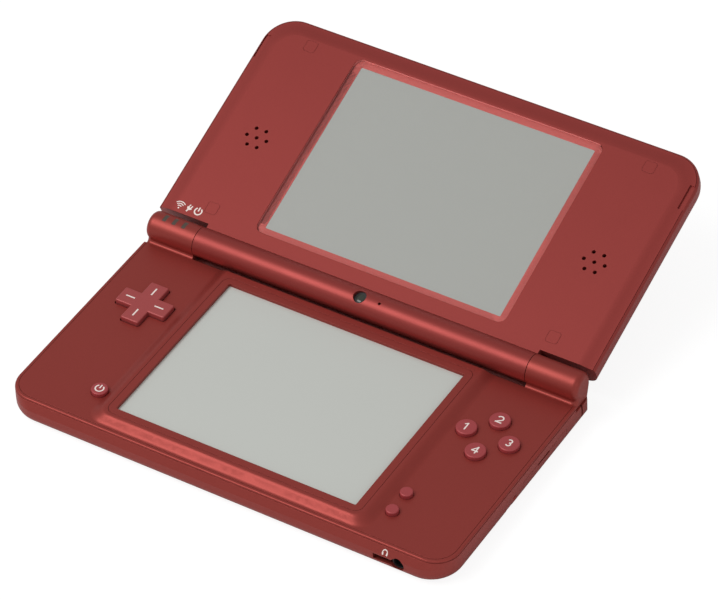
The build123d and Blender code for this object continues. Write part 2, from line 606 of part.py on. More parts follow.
def stylus():
    """Slim pen with a tapered tip and a collar, its head cut to the side wall's own form."""
    x0, x1 = STYLUS_X
    pen = stylus_bore(0, (x0 + 7, x1)) & casing(SEAM, 0, SPLIT_HEIGHT)
    neck = Pos(x0 + 5.0, STYLUS_Y, STYLUS_Z) * Rot(0, 90, 0) * Cone(0.9, STYLUS_RADIUS, 4.0)
    tip = rod_x(0.9, (x0 + 1, x0 + 3.2), STYLUS_Y, STYLUS_Z)
    tip = fillet(tip.edges().group_by(Axis.X)[0], 0.7)
    groove = rod_x(STYLUS_RADIUS + 1, (x1 - 14.0, x1 - 13.4), STYLUS_Y, STYLUS_Z)
    groove -= rod_x(STYLUS_RADIUS - 0.25, (x1 - 15, x1 - 13), STYLUS_Y, STYLUS_Z)
    return pen + neck + tip - groove


def headphone_jack():
    """Block through the board with a round bore that opens in the front wall."""
    y = BASE_FRONT + SHELL_WALL + 1.3
    body = slab((JACK_X - 2.9, JACK_X + 2.9), (y, y + JACK_DEPTH + 1), (JACK_Z - 2.5, DECK_UNDER - 0.3))
    body += rod_y(JACK_BORE + 0.45, JACK_X, (BASE_FRONT + 1.2, y + 1), JACK_Z)
    return body - rod_y(JACK_BORE, JACK_X, (BASE_FRONT, y + JACK_DEPTH), JACK_Z)


def headset_connector():
    """Flat socket beside the headphone hole, with a contact tongue."""
    x, y = (HEADSET_X[0] - 0.4, JACK_X - 3.1), (BASE_FRONT + SHELL_WALL + 1.3, BASE_FRONT + 7.6)
    body = slab(x, y, grown(HEADSET_Z, 0.5))
    body -= slab((x[0] + 0.5, x[1] - 0.5), (y[0] - 1, y[1] - 1.2), HEADSET_Z)
    middle = (HEADSET_Z[0] + HEADSET_Z[1]) / 2
    return body + slab((x[0] + 1.1, x[1] - 1.0), (y[0] + 0.4, y[1] - 0.6), (middle - 0.25, middle + 0.25))


def charge_port():
    x = (CHARGE_X - 4.2, CHARGE_X + 4.2)
    y = (BASE_BACK - 8.0, BASE_BACK - SHELL_WALL - 0.6)
    body = slab(x, y, (1.7, 5.5), 0)
    body -= slab(grown(x, -0.4), (y[0] + 1.2, y[1] + 1), (2.1, 5.1))
    tongue = slab((x[0] + 1.6, x[1] - 1.6), (y[0] + 1.0, y[1] - 1.2), (3.2, 3.9))
    return body + tongue


def mainboard():
    """Circuit board round the battery, with tabs for the shoulder switches and chips under it."""
    board = slab((4.25 - SIDE, SIDE - 4.25), (BASE_FRONT + 4.25, BASE_BACK - 13.5), BOARD_Z, 6.5)
    board += both_sides(slab((SIDE - 22.25, SIDE - 12.75), (BASE_BACK - 16.3, BASE_BACK - 5.8), BOARD_Z))
    board += slab((4.0, SIDE - 21.25), (BASE_BACK - 16.3, BASE_BACK - 9.3), BOARD_Z)
    board -= slab(grown(BATTERY_X, 1.0), (BATTERY_Y[0] - 1.0, 42.0), grown(BOARD_Z, 1))
    board -= slab((HEADSET_X[0] - 0.8, JACK_X + 3.3), (BASE_FRONT, BASE_FRONT + 8.0), grown(BOARD_Z, 1))
    board -= slab((JACK_X - 3.3, JACK_X + 3.3), (BASE_FRONT, BASE_FRONT + JACK_DEPTH + 4.3), grown(BOARD_Z, 1))
    for x, y in screw_places():
        board -= rod_z(BOSS_RADIUS + 0.4, x, y, grown(BOARD_Z, 1))
    for x, y in [(-60.0, -18.0), (32.0, -24.0), (14.0, -16.0), (-24.0, -24.0)]:
        board += slab((x - 6, x + 6), (y - 5, y + 5), (BOARD_Z[0] - 1.0, BOARD_Z[0] + 0.1))
    return board


def battery():
    cell = slab(BATTERY_X, BATTERY_Y, BATTERY_Z, 2.0)
    return fillet(cell.edges().group_by(Axis.Z)[-1], 0.5)


def battery_cover():
    cover = cover_bay(0, (0, COVER_THICK), 2.0 - SEAM)
    for x, y in cover_screw_places():
        cover -= rod_z(SCREW_HEAD + 0.1, x, y, (-1, 0.8))
        cover -= rod_z(SCREW_SHANK + 0.15, x, y, (-1, 2))
    return cover


def screw(x, y, z, length):
    """Cross-head screw, driven upwards, its head at z."""
    body = rod_z(SCREW_HEAD, x, y, (z, z + 0.75)) + rod_z(SCREW_SHANK - SCREW_CLEAR / 2, x, y, (z, z + length))
    cross = slab((x - 0.9, x + 0.9), (y - 0.18, y + 0.18), (z - 1, z + 0.4))
    cross += slab((x - 0.18, x + 0.18), (y - 0.9, y + 0.9), (z - 1, z + 0.4))
    return body - cross


def lid_at(shape):
    """A piece drawn with Y from the hinge axis to the free edge and Z out of the inner face, in place."""
    return Location((0, HINGE_Y, HINGE_Z), (180 - OPEN_ANGLE, 0, 0)) * shape


def lid_form(inset, top):
    """Lid's outer form drawn in by an inset, from its rounded back up to a height over the axis."""
    half, end = LID_WIDTH / 2 - inset, LID_LENGTH - inset
    back = LID_BACK + inset
    form = slab((-half, half), (-3 * WALL_CORNER, end), (back, top), WALL_CORNER - inset)
    form = fillet(form.edges().group_by(Axis.Z)[0], LID_ROUND - inset)
    if not inset:
        form = fillet(form.edges().group_by(Axis.Z)[-1], LID_EDGE)
    # the heel's rounding runs straight across
    radius = HEEL_ROUND
    heel = slab((-LID_WIDTH, LID_WIDTH), (-60, radius), (back - 1, back + radius))
    heel += slab((-LID_WIDTH, LID_WIDTH), (-60, inset), (back - 1, 20))
    heel -= rod_x(radius - inset, (-LID_WIDTH, LID_WIDTH), radius, back + radius - inset)
    return form - heel


def beside_barrel(u):
    """The two zones beside the barrel, from the axis outwards to u."""
    return both_sides(slab((BARREL_HALF - 0.1, LID_WIDTH), (-60, u), (-20, 20)))


def notches():
    """Finger notches sunk into both side edges of the lid's panel."""
    edge = LID_WIDTH / 2 - LID_LIP
    return both_sides(slab((edge - NOTCH_WIDTH, edge + 1), NOTCH_U, (LID_FACE - NOTCH_SINK, LID_FACE + 1)))


def cover_places():
    return [(side * COVER_X, u) for side in (-1, 1) for u in COVER_U]


def lid_shell():
    shell = lid_form(0, LID_FACE - LID_LIP_DROP)
    cavity = lid_form(LID_WALL, LID_FACE - PANEL_THICK)
    cavity -= both_sides(slab((BARREL_HALF - 0.1 - LID_WALL, LID_WIDTH), (-40, LID_HEEL + LID_WALL), (-20, 20)))
    shell -= cavity
    half, end = LID_WIDTH / 2 - LID_LIP, LID_LENGTH - LID_LIP
    pocket = (LID_FACE - PANEL_THICK, LID_FACE + 1)
    shell -= slab((-half, half), (-3 * WALL_CORNER, end), pocket, WALL_CORNER - LID_LIP)
    shell = lid_cuts(shell)
    for x, u in cover_places():
        shell += rod_z(BOSS_RADIUS, x, u, (LID_BACK + LID_WALL - 0.2, LID_FACE - PANEL_THICK))
        shell -= rod_z(SCREW_SHANK + 0.02, x, u, (LID_BACK + LID_WALL + 0.4, LID_FACE))
    x, u = OUTER_CAMERA
    return shell - rod_z(OUTER_CAMERA_RADIUS + SEAM / 2, x, u, (LID_BACK - 1, LID_BACK + LID_WALL + 1))


def lid_cuts(shape):
    """Room for the hinge, cut from a lid piece."""
    shape -= beside_barrel(LID_HEEL)
    shape -= rod_x(BARREL_RADIUS + BARREL_SEAM, (-LID_WIDTH, LID_WIDTH), 0, 0)
    return shape - slab((-LID_WIDTH, LID_WIDTH), (-60, 0), (-20, 20))


def lid_panel():
    """Inner face of the lid; it falls away in a soft S towards its edges."""
    half, end = LID_WIDTH / 2 - LID_LIP - SEAM, LID_LENGTH - LID_LIP - SEAM
    corner = WALL_CORNER - LID_LIP - SEAM
    near = -2 * WALL_CORNER
    panel = slab((-half, half), (near, end), (LID_FACE - PANEL_THICK, LID_FACE - PANEL_FALL), corner)
    sections = []
    for step in range(SLOPE_STEPS + 1):
        inset = PANEL_MARGIN * step / SLOPE_STEPS
        z = LID_FACE - PANEL_FALL * (1 + cos(pi * step / SLOPE_STEPS)) / 2
        plan = RectangleRounded(2 * (half - inset), end - near - 2 * inset, corner - 0.6 * inset)
        sections.append(Pos(0, (end + near) / 2, z) * plan)
    panel = lid_cuts(panel + loft(sections)) - notches()
    panel -= window_slab(-SEAM / 2, (-20, 20))
    for x, u in sound_holes():
        panel -= rod_z(SPEAKER_HOLE, x, u, (-20, 20))
    for x, u in cover_places():
        reach = COVER_SIZE / 2 + 0.06
        panel -= slab((x - reach, x + reach), (u - reach, u + reach), (LID_FACE - 0.7, LID_FACE + 1), 0.9)
        panel -= rod_z(SCREW_SHANK + 0.2, x, u, (-20, 20))
        panel -= rod_z(SCREW_HEAD + 0.1, x, u, (LID_FACE - 1.3, LID_FACE))
    return panel


def window_slab(inset, z):
    """Plan of the upper window, drawn in by an inset."""
    half_x, half_u = FRAME_WIDTH / 2 - inset, FRAME_HEIGHT / 2 - inset
    return slab((-half_x, half_x), (UPPER_CENTRE - half_u, UPPER_CENTRE + half_u), z, FRAME_CORNER - inset)


def sound_holes():
    """Centre hole and a ring of six in front of each speaker."""
    holes = []
    for side in (-1, 1):
        holes.append((side * SPEAKER_X, SPEAKER_U))
        for i in range(6):
            turn = radians(60 * i)
            holes.append((side * SPEAKER_X + SPEAKER_RING * cos(turn), SPEAKER_U + SPEAKER_RING * sin(turn)))
    return holes


def hinge_barrel():
    """Tube between the knuckles with a tongue into the lid, a camera recess and a microphone hole."""
    barrel = rod_x(BARREL_RADIUS, (-BARREL_HALF, BARREL_HALF), 0, 0)
    barrel += slab((-BARREL_HALF + 4, BARREL_HALF - 4), (3.0, 9.0), (LID_FACE - PANEL_THICK - 2.4, LID_FACE - PANEL_THICK))
    barrel -= rod_x(BARREL_RADIUS - BARREL_WALL, (-BARREL_HALF - 1, BARREL_HALF + 1), 0, 0)
    barrel -= rod_z(CAMERA_RECESS, 0, 0, (0, 20))
    return barrel - rod_z(MICROPHONE_HOLE, MICROPHONE_X, 0, (0, 20))


def hinge_cartridge():
    """Friction hinge pressed into the right end of the barrel, its shaft held by the knuckle."""
    body = rod_x(BARREL_RADIUS - BARREL_WALL - 0.01, (BARREL_HALF - 14, BARREL_HALF), 0, 0)
    shaft = rod_x(SHAFT_RADIUS, (BARREL_HALF - 1, KNUCKLE_START + SHAFT_LENGTH), 0, 0)
    flat = slab((BARREL_HALF - 14.5, BARREL_HALF - 9), (-4, 4), (2.6, 5))
    return fillet(body.edges().group_by(Axis.X)[0], 0.5) - flat + shaft


def hinge_sleeve():
    """Hollow pivot in the left end of the barrel."""
    body = rod_x(BARREL_RADIUS - BARREL_WALL - 0.01, (-BARREL_HALF, -BARREL_HALF + 8), 0, 0)
    pivot = rod_x(SLEEVE_RADIUS, (-KNUCKLE_START - SHAFT_LENGTH, -BARREL_HALF + 1), 0, 0)
    return body + pivot - rod_x(SLEEVE_BORE, (-KNUCKLE_START - SHAFT_LENGTH - 1, -BARREL_HALF + 9), 0, 0)


def upper_window():
    return window_slab(SEAM / 2, (LID_FACE - WINDOW_THICK, LID_FACE - 0.01))


def window_border():
    z = (LID_FACE - WINDOW_THICK - BORDER_THICK, LID_FACE - WINDOW_THICK)
    view = slab((-VIEW_WIDTH / 2, VIEW_WIDTH / 2),
                (UPPER_CENTRE - VIEW_HEIGHT / 2, UPPER_CENTRE + VIEW_HEIGHT / 2), grown(z, 1), 0.4)
    return window_slab(SEAM / 2, z) - view


def upper_display():
    top = LID_FACE - WINDOW_THICK - BORDER_THICK
    body = window_slab(0.4, (top - DISPLAY_THICK, top))
    return body - window_slab(1.5, (top - DISPLAY_THICK - 1, top - DISPLAY_THICK + 0.4))


def speaker(side):
    top = LID_FACE - PANEL_THICK
    body = rod_z(SPEAKER_RADIUS, side * SPEAKER_X, SPEAKER_U, (top - 2.6, top))
    cup = rod_z(SPEAKER_RADIUS - 0.9, side * SPEAKER_X, SPEAKER_U, (top - 0.5, top + 1))
    dome = Pos(side * SPEAKER_X, SPEAKER_U, top - 7.4) * Sphere(7.2)
    magnet = rod_z(SPEAKER_RADIUS * 0.6, side * SPEAKER_X, SPEAKER_U, (top - 3.8, top - 2))
    return body - cup + (dome & rod_z(3.2, side * SPEAKER_X, SPEAKER_U, (top - 1, top))) + magnet


def lid_screw_cover(x, u):
    reach = COVER_SIZE / 2
    cover = slab((x - reach, x + reach), (u - reach, u + reach), (LID_FACE - 0.7, LID_FACE + 0.02), 0.85)
    return cover


def lid_screw(x, u):
    head = rod_z(SCREW_HEAD, x, u, (LID_FACE - 1.3, LID_FACE - 0.75))
    return head + rod_z(SCREW_SHANK - SCREW_CLEAR / 2, x, u, (LID_BACK + LID_WALL + 1.2, LID_FACE - 1))


def inner_camera():
    """Camera barrel in the recess, its front open for the lens."""
    top = BARREL_RADIUS - CAMERA_DEPTH
    body = rod_z(CAMERA_RECESS - 0.02, 0, 0, (-1.5, top))
    body -= rod_z(1.45, 0, 0, (top - 0.5, top + 1))
    return body - rod_z(0.8, 0, 0, (top - 1.0, top))


def inner_camera_lens():
    """Thin glass with a slightly domed front."""
    top = BARREL_RADIUS - CAMERA_DEPTH
    disc = rod_z(1.43, 0, 0, (top - 0.49, top + 0.1))
    return disc & (Pos(0, 0, top - 7.85) * Sphere(8.0))


def microphone():
    return rod_z(1.6, MICROPHONE_X, 0, (0.6, BARREL_RADIUS - BARREL_WALL - 0.6))


def outer_camera():
    x, u = OUTER_CAMERA
    top = LID_BACK + LID_WALL + 0.05
    return slab((x - 4, x + 4), (u - 4, u + 4), (top, top + 3.4), 0.8)


def outer_camera_window():
    """Round window with a shallow lens well, flush with the lid's back."""
    x, u = OUTER_CAMERA
    disc = rod_z(OUTER_CAMERA_RADIUS, x, u, (LID_BACK, LID_BACK + LID_WALL))
    return disc - rod_z(1.5, x, u, (LID_BACK - 1, LID_BACK + 0.35))


def save(name, shape):
    shape.label = name
    export_step(shape, os.path.join("parts", name + ".step"))


def base_pieces():
    face_pads = [(centre, radius * 0.8) for name, centre, radius in button_places() if name.startswith("face")]
    small_pads = [(START_AT, SMALL_RADIUS), (SELECT_AT, SMALL_RADIUS)]
    dx, dy = DPAD_CENTRE
    dpad_pads = [((dx + sx * 6.0, dy + sy * 6.0), 2.2) for sx, sy in ((1, 0), (-1, 0), (0, 1), (0, -1))]
    fx, fy = FACE_CENTRE
    px, py = POWER_AT
    pieces = {
        "lower_shell": lower_shell(),
        "control_deck": control_deck(),
        "deck_rim": deck_rim(),
        "touch_bezel": touch_bezel(),
        "touch_panel": touch_panel(),
        "lower_display": lower_display(),
        "d_pad": d_pad(),
        "dpad_pivot": dpad_pivot(),
        "dpad_membrane": membrane(dpad_pads, (dx - 10.5, dx + 10.5), (dy - 10.5, dy + 10.5), MEMBRANE_LOW),
        "face_membrane": membrane(face_pads, (fx - 12.0, fx + 12.0), (fy - 12.0, fy + 12.0), MEMBRANE_DOME),
        "start_select_membrane": membrane(small_pads, (START_AT[0] - SMALL_SHEET, START_AT[0] + SMALL_SHEET),
                                          (SELECT_AT[1] - SMALL_SHEET_FRONT, START_AT[1] + SMALL_SHEET),
                                          MEMBRANE_DOME),
        "power_membrane": membrane([(POWER_AT, POWER_RADIUS)], (px - 4, px + 4), (py - 4, py + 4), MEMBRANE_DOME),
        "right_shoulder_button": shoulder_button(),
        "left_shoulder_button": mirrored(shoulder_button()),
        "shoulder_switches": shoulder_switches(),
        "volume_rocker": volume_rocker(),
        "memory_card_door": memory_card_door(),
        "memory_card_socket": memory_card_socket(),
        "game_card_socket": game_card_socket(),
        "stylus": stylus(),
        "headphone_jack": headphone_jack(),
        "headset_connector": headset_connector(),
        "charge_port": charge_port(),
        "mainboard": mainboard(),
        "battery": battery(),
        "battery_cover": battery_cover(),
        "status_lights": status_lights(),
    }
    for name, centre, radius in button_places():
        pieces[name] = round_button(centre, radius)
    screws = [screw(x, y, SHELL_FLOOR - 0.75, 6.6) for x, y in screw_places()]
    pieces["base_screws"] = Compound(children=screws)
    cover_screws = [screw(x, y, 0.05, 3.6) for x, y in cover_screw_places()]
    pieces["battery_cover_screws"] = Compound(children=cover_screws)
    return pieces


def lid_pieces():
    return {
        "lid_shell": lid_shell(),
        "lid_panel": lid_panel(),
        "hinge_barrel": hinge_barrel(),
        "hinge_cartridge": hinge_cartridge(),
        "hinge_sleeve": hinge_sleeve(),
        "upper_window": upper_window(),
        "window_border": window_border(),
        "upper_display": upper_display(),
        "left_speaker": speaker(-1),
        "right_speaker": speaker(1),
        "lid_screw_covers": Compound(children=[lid_screw_cover(x, u) for x, u in cover_places()]),
        "lid_screws": Compound(children=[lid_screw(x, u) for x, u in cover_places()]),
        "inner_camera": inner_camera(),
        "inner_camera_lens": inner_camera_lens(),
        "microphone": microphone(),
        "outer_camera": outer_camera(),
        "outer_camera_window": outer_camera_window(),
    }


os.makedirs("parts", exist_ok=True)
for piece_name, piece in base_pieces().items():
    save(piece_name, piece)
for piece_name, piece in lid_pieces().items():
    save(piece_name, lid_at(piece))
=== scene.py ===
import json

import bmesh
import bpy
import numpy as np
from mathutils import Matrix, Vector


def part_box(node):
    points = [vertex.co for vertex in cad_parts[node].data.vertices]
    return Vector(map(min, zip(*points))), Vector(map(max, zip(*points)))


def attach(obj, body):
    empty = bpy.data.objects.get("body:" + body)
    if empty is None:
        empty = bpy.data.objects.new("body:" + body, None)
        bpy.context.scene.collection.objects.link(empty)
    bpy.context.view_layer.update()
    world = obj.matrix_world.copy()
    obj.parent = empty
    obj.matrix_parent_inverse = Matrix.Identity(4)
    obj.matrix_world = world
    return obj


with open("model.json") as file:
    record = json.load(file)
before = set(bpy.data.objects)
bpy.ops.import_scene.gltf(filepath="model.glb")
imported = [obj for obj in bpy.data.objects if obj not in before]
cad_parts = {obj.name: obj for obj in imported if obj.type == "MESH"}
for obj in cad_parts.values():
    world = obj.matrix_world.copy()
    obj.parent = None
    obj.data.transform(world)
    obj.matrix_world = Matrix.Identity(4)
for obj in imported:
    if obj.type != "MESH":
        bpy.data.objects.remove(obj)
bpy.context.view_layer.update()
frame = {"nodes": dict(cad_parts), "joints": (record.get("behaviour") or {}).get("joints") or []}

# Folding two-screen game console, in metres: its finishes, printed signs, floor, lights and camera.
# The lid is open on its stop. Its signs are worked out in the lid's own plane: x to the user's
# right and u from the hinge axis to the free edge.

bl_info = {
    "name": "Folding Game Console",
    "version": (1, 0, 0),
    "blender": (4, 5, 0),
    "location": "View3D > Sidebar > Console",
    "description": "Finishes and printed signs of a folding two-screen game console",
    "category": "Object",
}

MM = 0.001

# ------------------------------------------------------------------ places read from the frame
HINGE = next(joint for joint in frame["joints"] if joint["name"] == "lid_hinge")
HINGE_AT = np.array(HINGE["pos_m"])
LID_TILT = np.radians(180.0 - HINGE["range_deg"][1])
LID_ALONG = np.array([0.0, np.cos(LID_TILT), np.sin(LID_TILT)])
LID_OUT = np.array([0.0, -np.sin(LID_TILT), np.cos(LID_TILT)])
RIGHT = np.array([1.0, 0.0, 0.0])
BACK = np.array([0.0, 1.0, 0.0])
UP = np.array([0.0, 0.0, 1.0])

# ------------------------------------------------------------------ sizes of the signs
LID_SIGN_U = 8.95 * MM              # lid signs' centres from the hinge axis
WIRELESS_X, CHARGING_X, POWER_X = -73.7 * MM, -70.2 * MM, -66.8 * MM
LID_OVER = 2 * MM                   # lid signs' places over the plane through the hinge axis
RUN_DOWN = 3 * MM                   # signs start this far over their places and run down onto the piece
CROSS_REACH = 5.4 * MM              # dashes' centres from the middle of the direction cross
DASH_WIDTH = 0.50 * MM
POWER_KEY_RADIUS = 1.35 * MM
POWER_KEY_WIDTH = 0.45 * MM
NUMBER_HEIGHT = 3.1 * MM
NUMBER_WIDTH = 0.45 * MM
HEADPHONE_X, HEADPHONE_Z = 59.2 * MM, 7.1 * MM
HEADPHONE_RADIUS = 0.80 * MM
HEADPHONE_BAND = 0.30 * MM
HEADPHONE_CUP = 0.50 * MM
HEADPHONE_CUP_Y = (-0.02 * MM, -0.72 * MM)

# ------------------------------------------------------------------ finishes
PAINTED = ("control_deck", "touch_bezel", "deck_rim", "lower_shell", "battery_cover", "memory_card_door",
           "left_shoulder_button", "right_shoulder_button", "volume_rocker", "stylus")
LID_PAINTED = ("lid_shell", "lid_panel", "hinge_barrel", "lid_screw_covers")
NUMBERED_KEYS = ("face_button_left", "face_button_top", "face_button_right", "face_button_bottom")
KEY_PEARL = 0.25
KEY_ROUGHNESS = 0.42
BORDER_PEARL = 0.35
SCREEN_ROUGHNESS = 0.35
FILM_COAT = 0.25
INK_ROUGHNESS = 0.5
PLASTIC_IOR = 1.45
PLAIN_FINISHES = {
    "black_plastic": (
        dict(colour=(0.012, 0.012, 0.013), rough=0.5),
        ("headphone_jack", "headset_connector", "charge_port", "shoulder_switches", "left_speaker",
         "right_speaker", "microphone", "outer_camera", "dpad_pivot", "inner_camera")),
    "grey_rubber": (
        dict(colour=(0.16, 0.16, 0.17), rough=0.75, depth=0.000006),
        ("dpad_membrane", "face_membrane", "start_select_membrane", "power_membrane")),
    "bright_steel": (
        dict(colour=(0.62, 0.62, 0.61), rough=0.3, metallic=1.0),
        ("memory_card_socket", "game_card_socket", "hinge_cartridge", "hinge_sleeve",
         "battery_cover_screws", "base_screws", "lid_screws")),
    "board_lacquer": (dict(colour=(0.012, 0.11, 0.045), rough=0.35), ("mainboard",)),
    "cell_wrap": (dict(colour=(0.32, 0.33, 0.35), rough=0.45), ("battery",)),
    "light_window": (dict(colour=(0.07, 0.05, 0.038), rough=0.45), ("status_lights",)),
    "camera_glass": (
        dict(colour=(0.035, 0.04, 0.03), rough=0.06, depth=0.0),
        ("inner_camera_lens", "outer_camera_window")),
    "display_frame": (dict(colour=(0.03, 0.03, 0.03), rough=0.4), ("lower_display",)),
}

# ------------------------------------------------------------------ floor, lights and camera
FLOOR_RADIUS, FLOOR_RINGS, FLOOR_TURNS = 3.0, 6, 96
FLOOR_PAPER = (0.86, 0.86, 0.86, 1)
FLOOR_ROUGHNESS = 0.9
FLOOR_WHITE_SHARE = 0.78            # of plain white in what is seen of the floor, the rest is its paper
FLOOR_WHITE = 1.13
KEY_AT, KEY_SIZE = (-0.55, -0.50, 1.10), 0.75
FILL_AT, FILL_SIZE = (1.1, -0.4, 0.6), 0.7
LIT_POINT = (0, 0.03, 0.01)
CAMERA_AT = (0.56367, -0.81109, 0.95232)
CAMERA_RIGHT = (0.85337, 0.51961, -0.04195)
CAMERA_UP = (-0.32559, 0.59411, 0.73555)
CAMERA_LENS, CAMERA_SENSOR = 220.5, 36.0
CAMERA_SHIFT = (-0.00185, -0.00058)
CAMERA_NEAR = 0.1


def top_of(node):
    """Centre of the top of a piece's box."""
    low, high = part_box(node)
    return np.array([(low[0] + high[0]) / 2, (low[1] + high[1]) / 2, high[2]])


def on_lid(x, u):
    """Point of the plane through the hinge axis that lies along the lid."""
    return HINGE_AT + RIGHT * x + LID_ALONG * u


# ------------------------------------------------------------------ settings
class ConsolePlastics(bpy.types.PropertyGroup):
    deck_colour: bpy.props.FloatVectorProperty(
        name="Deck colour", description="Pearl paint of the deck, rim and side walls",
        subtype="COLOR", size=3, min=0, max=1, default=(0.31, 0.044, 0.035))
    lid_colour: bpy.props.FloatVectorProperty(
        name="Lid colour", description="Pearl paint of the lid and hinge",
        subtype="COLOR", size=3, min=0, max=1, default=(0.30, 0.041, 0.035))
    key_colour: bpy.props.FloatVectorProperty(
        name="Key colour", description="Solid plastic of the buttons",
        subtype="COLOR", size=3, min=0, max=1, default=(0.385, 0.056, 0.061))
    cross_colour: bpy.props.FloatVectorProperty(
        name="Cross colour", description="Solid plastic of the direction cross",
        subtype="COLOR", size=3, min=0, max=1, default=(0.385, 0.066, 0.066))
    border_colour: bpy.props.FloatVectorProperty(
        name="Window border", description="Print behind the edge of the upper window",
        subtype="COLOR", size=3, min=0, max=1, default=(0.58, 0.108, 0.095))
    pearl: bpy.props.FloatProperty(
        name="Pearl", description="Share of the paint that reflects like metal flake",
        min=0, max=1, default=0.55)
    gloss: bpy.props.FloatProperty(
        name="Roughness", description="Roughness of the satin paint",
        min=0, max=1, default=0.43)
    grain: bpy.props.FloatProperty(
        name="Grain", description="Size of the grain in the satin paint",
        min=0.00002, max=0.002, default=0.00011, unit="LENGTH", precision=5)
    edge: bpy.props.FloatProperty(
        name="Edge softness", description="Radius that the light sees on moulded edges",
        min=0, max=0.001, default=0.00014, unit="LENGTH", precision=5)


class ConsoleScreens(bpy.types.PropertyGroup):
    upper_colour: bpy.props.FloatVectorProperty(
        name="Upper screen", description="Upper screen switched off",
        subtype="COLOR", size=3, min=0, max=1, default=(0.385, 0.392, 0.365))
    lower_colour: bpy.props.FloatVectorProperty(
        name="Lower screen", description="Touch screen switched off",
        subtype="COLOR", size=3, min=0, max=1, default=(0.56, 0.575, 0.54))
    film_roughness: bpy.props.FloatProperty(
        name="Film roughness", description="Roughness of the touch screen's plastic film",
        min=0, max=1, default=0.32)


class ConsoleSigns(bpy.types.PropertyGroup):
    print_colour: bpy.props.FloatVectorProperty(
        name="Print colour", description="Ink of the signs",
        subtype="COLOR", size=3, min=0, max=1, default=(0.86, 0.75, 0.70))
    ink: bpy.props.FloatProperty(
        name="Ink thickness", description="How far the ink stands on the surface",
        min=0, max=0.0002, default=0.000015, unit="LENGTH", precision=6)
    sign_size: bpy.props.FloatProperty(
        name="Sign size", description="Height of the signs on the lid",
        min=0.001, max=0.01, default=0.0026, unit="LENGTH", precision=4)
    dash_length: bpy.props.FloatProperty(
        name="Dash length", description="Length of the dashes on the direction cross",
        min=0.0005, max=0.006, default=0.0033, unit="LENGTH", precision=4)


class ConsoleStage(bpy.types.PropertyGroup):
    key_power: bpy.props.FloatProperty(
        name="Key light", description="Large soft light from the upper left",
        min=0, default=8.8, unit="POWER")
    fill_power: bpy.props.FloatProperty(
        name="Fill light", description="Weak soft light from the right",
        min=0, default=1.2, unit="POWER")
    sky: bpy.props.FloatProperty(
        name="Room light", description="Strength of the even light from all round",
        min=0, default=0.48)


# ------------------------------------------------------------------ mesh helpers
def new_piece(name, points, faces, material, body):
    """A finished piece from whole arrays of points and faces, riding on its body."""
    mesh = bpy.data.meshes.new(name)
    mesh.from_pydata(points, [], faces)
    mesh.materials.append(material)
    mesh.update()
    piece = bpy.data.objects.new(name, mesh)
    bpy.context.scene.collection.objects.link(piece)
    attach(piece, body)
    return piece


def struck(points, direction, node):
    """Where each point, carried along a direction, first meets a piece's surface.

    Every ray is tested against every triangle at once: with edges a and b from corner c, the ray
    meets the triangle at c + s*a + t*b with s and t at least 0 and s + t at most 1."""
    tiny, slack = 1e-18, 1e-9
    mesh = frame["nodes"][node].data
    mesh.calc_loop_triangles()
    corners = np.empty(len(mesh.loop_triangles) * 3, np.int64)
    mesh.loop_triangles.foreach_get("vertices", corners)
    places = np.empty(len(mesh.vertices) * 3)
    mesh.vertices.foreach_get("co", places)
    corner, second, third = places.reshape(-1, 3)[corners.reshape(-1, 3)].transpose(1, 0, 2)
    a, b = second - corner, third - corner
    across = np.cross(direction, b)
    scale = np.einsum("ij,ij->i", across, a)
    scale = np.where(np.abs(scale) < tiny, np.inf, scale)
    off = points[:, None] - corner[None]
    s = np.einsum("pij,ij->pi", off, across) / scale
    turned = np.cross(off, a[None])
    t = np.einsum("pij,j->pi", turned, direction) / scale
    run = np.einsum("pij,ij->pi", turned, b) / scale
    run = np.where((s >= -slack) & (t >= -slack) & (s + t <= 1 + slack) & (run > 0), run, np.inf)
    nearest = run.min(axis=1)
    if not np.isfinite(nearest).all():
        raise RuntimeError(f"a sign reaches past the edge of {node}")
    return points + nearest[:, None] * direction


def arc(centre, radius, start, end, steps):
    """Points on a circle from one angle to another, in degrees."""
    turn = np.radians(np.linspace(start, end, steps))
    return np.stack([centre[0] + radius * np.cos(turn), centre[1] + radius * np.sin(turn)], 1)


def arc_band(centre, radius, width, start, end, steps=24):
    """Left and right edge of a band that follows a circle."""
    return (arc(centre, radius - width / 2, start, end, steps),
            arc(centre, radius + width / 2, start, end, steps))


def bar(start, end, width):
    """Left and right edge of a straight band."""
    start, end = np.array(start, float), np.array(end, float)
    side = (end - start) / np.linalg.norm(end - start) * width / 2
    side = np.array([-side[1], side[0]])
    return np.array([start + side, end + side]), np.array([start - side, end - side])


def disc(centre, radius):
    """A disc as the band between its left and its right half, whose ends stay a hair apart."""
    gap, steps = 1e-3, 17
    return (arc(centre, radius, 90 + gap, 270 - gap, steps),
            arc(centre, radius, 90 - gap, -90 + gap, steps))


